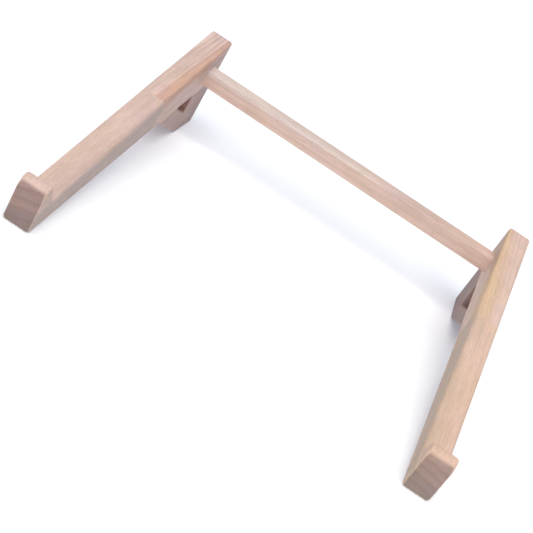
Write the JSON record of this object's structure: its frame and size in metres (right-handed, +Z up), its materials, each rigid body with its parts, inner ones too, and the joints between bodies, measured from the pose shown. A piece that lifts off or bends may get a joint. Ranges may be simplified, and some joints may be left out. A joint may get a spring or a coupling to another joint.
{
  "type": "desk stand",
  "caption": "Small open wooden desk stand for a newspaper or book: hooked sloping side arms tied by a rear crossbar.",
  "frame": {"origin": "on the desk, in the middle of the stand's footprint", "axes": "+X across the stand, +Y from the hooks to the rear, +Z up"},
  "size_m": [0.242, 0.2756, 0.0646],
  "materials": {
    "rail": "pale sanded hardwood",
    "foot": "pale sanded hardwood, a shade redder",
    "bar": "pale sanded hardwood",
    "dowel": "plain beech dowel"
  },
  "bodies": {
    "root": {"crossbar": "bar", "left_dowel": "dowel", "left_foot": "foot", "left_rail_front": "rail", "left_rail_rear": "rail", "right_dowel": "dowel", "right_foot": "foot", "right_rail_front": "rail", "right_rail_rear": "rail"}
  },
  "joints": []
}
